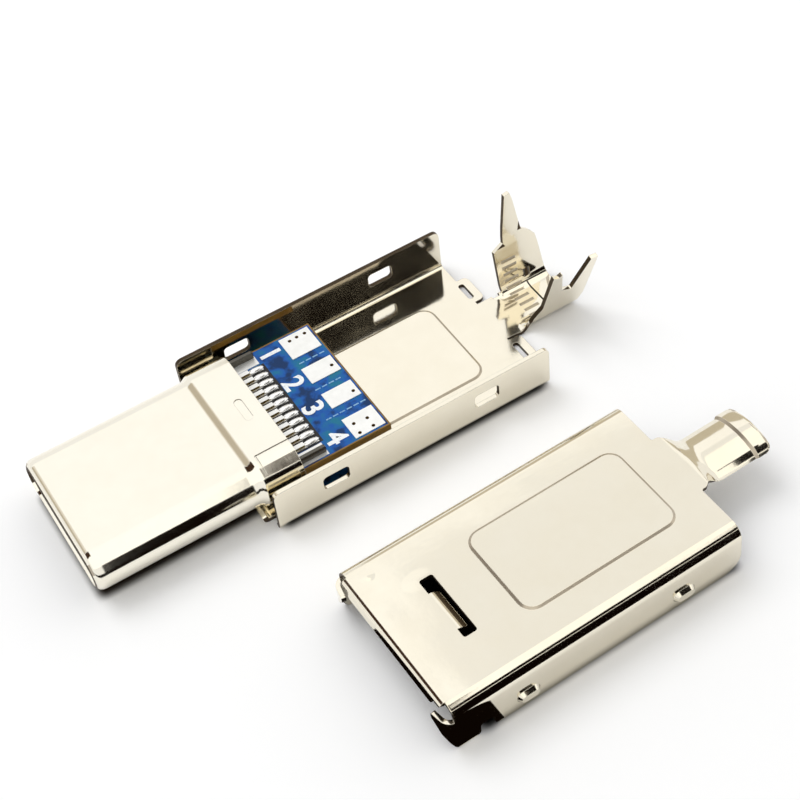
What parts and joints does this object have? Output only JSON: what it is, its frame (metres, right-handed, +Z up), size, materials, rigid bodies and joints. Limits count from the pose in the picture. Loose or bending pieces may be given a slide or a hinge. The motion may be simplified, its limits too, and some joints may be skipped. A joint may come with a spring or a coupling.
{
  "type": "cable plug kit",
  "caption": "Solder-type cable plug, opened: drawn metal plug on a small board in a folded lower shell with a cable crimp, and its folded upper shell laid beside it.",
  "frame": {"origin": "on the underside of the lower shell, in the plug's middle plane, below the rear edge of the drawn plug shell", "axes": "+X from the plug's mouth towards the cable, +Y to the plug's left, +Z up from the surface it lies on"},
  "size_m": [0.029, 0.0244, 0.0062],
  "materials": {
    "nickel_plate": "bright nickel plating on folded sheet steel",
    "drawn_nickel": "bright nickel plating on a deep-drawn shell",
    "spring_steel": "plain stainless spring strip",
    "gold_plate": "thin gold plating on stamped copper alloy",
    "black_resin": "moulded high-temperature resin",
    "grey_resin": "moulded high-temperature resin",
    "solder_mask": "blue solder mask on glass-epoxy board"
  },
  "bodies": {
    "root": {"lower_shell": "nickel_plate", "upper_shell": "nickel_plate", "plug_shell": "drawn_nickel", "contact_housing": "black_resin", "tail_block": "grey_resin", "circuit_board": "solder_mask", "left_latch": "spring_steel", "right_latch": "spring_steel", "upper_spring_plate": "spring_steel", "lower_spring_plate": "spring_steel", "upper_contact_01": "gold_plate", "upper_contact_02": "gold_plate", "upper_contact_03": "gold_plate", "upper_contact_04": "gold_plate", "upper_contact_05": "gold_plate", "upper_contact_06": "gold_plate", "upper_contact_07": "gold_plate", "upper_contact_08": "gold_plate", "upper_contact_09": "gold_plate", "upper_contact_10": "gold_plate", "upper_contact_11": "gold_plate", "upper_contact_12": "gold_plate", "lower_contact_01": "gold_plate", "lower_contact_02": "gold_plate", "lower_contact_03": "gold_plate", "lower_contact_04": "gold_plate", "lower_contact_05": "gold_plate", "lower_contact_08": "gold_plate", "lower_contact_09": "gold_plate", "lower_contact_10": "gold_plate", "lower_contact_11": "gold_plate", "lower_contact_12": "gold_plate"}
  },
  "joints": []
}
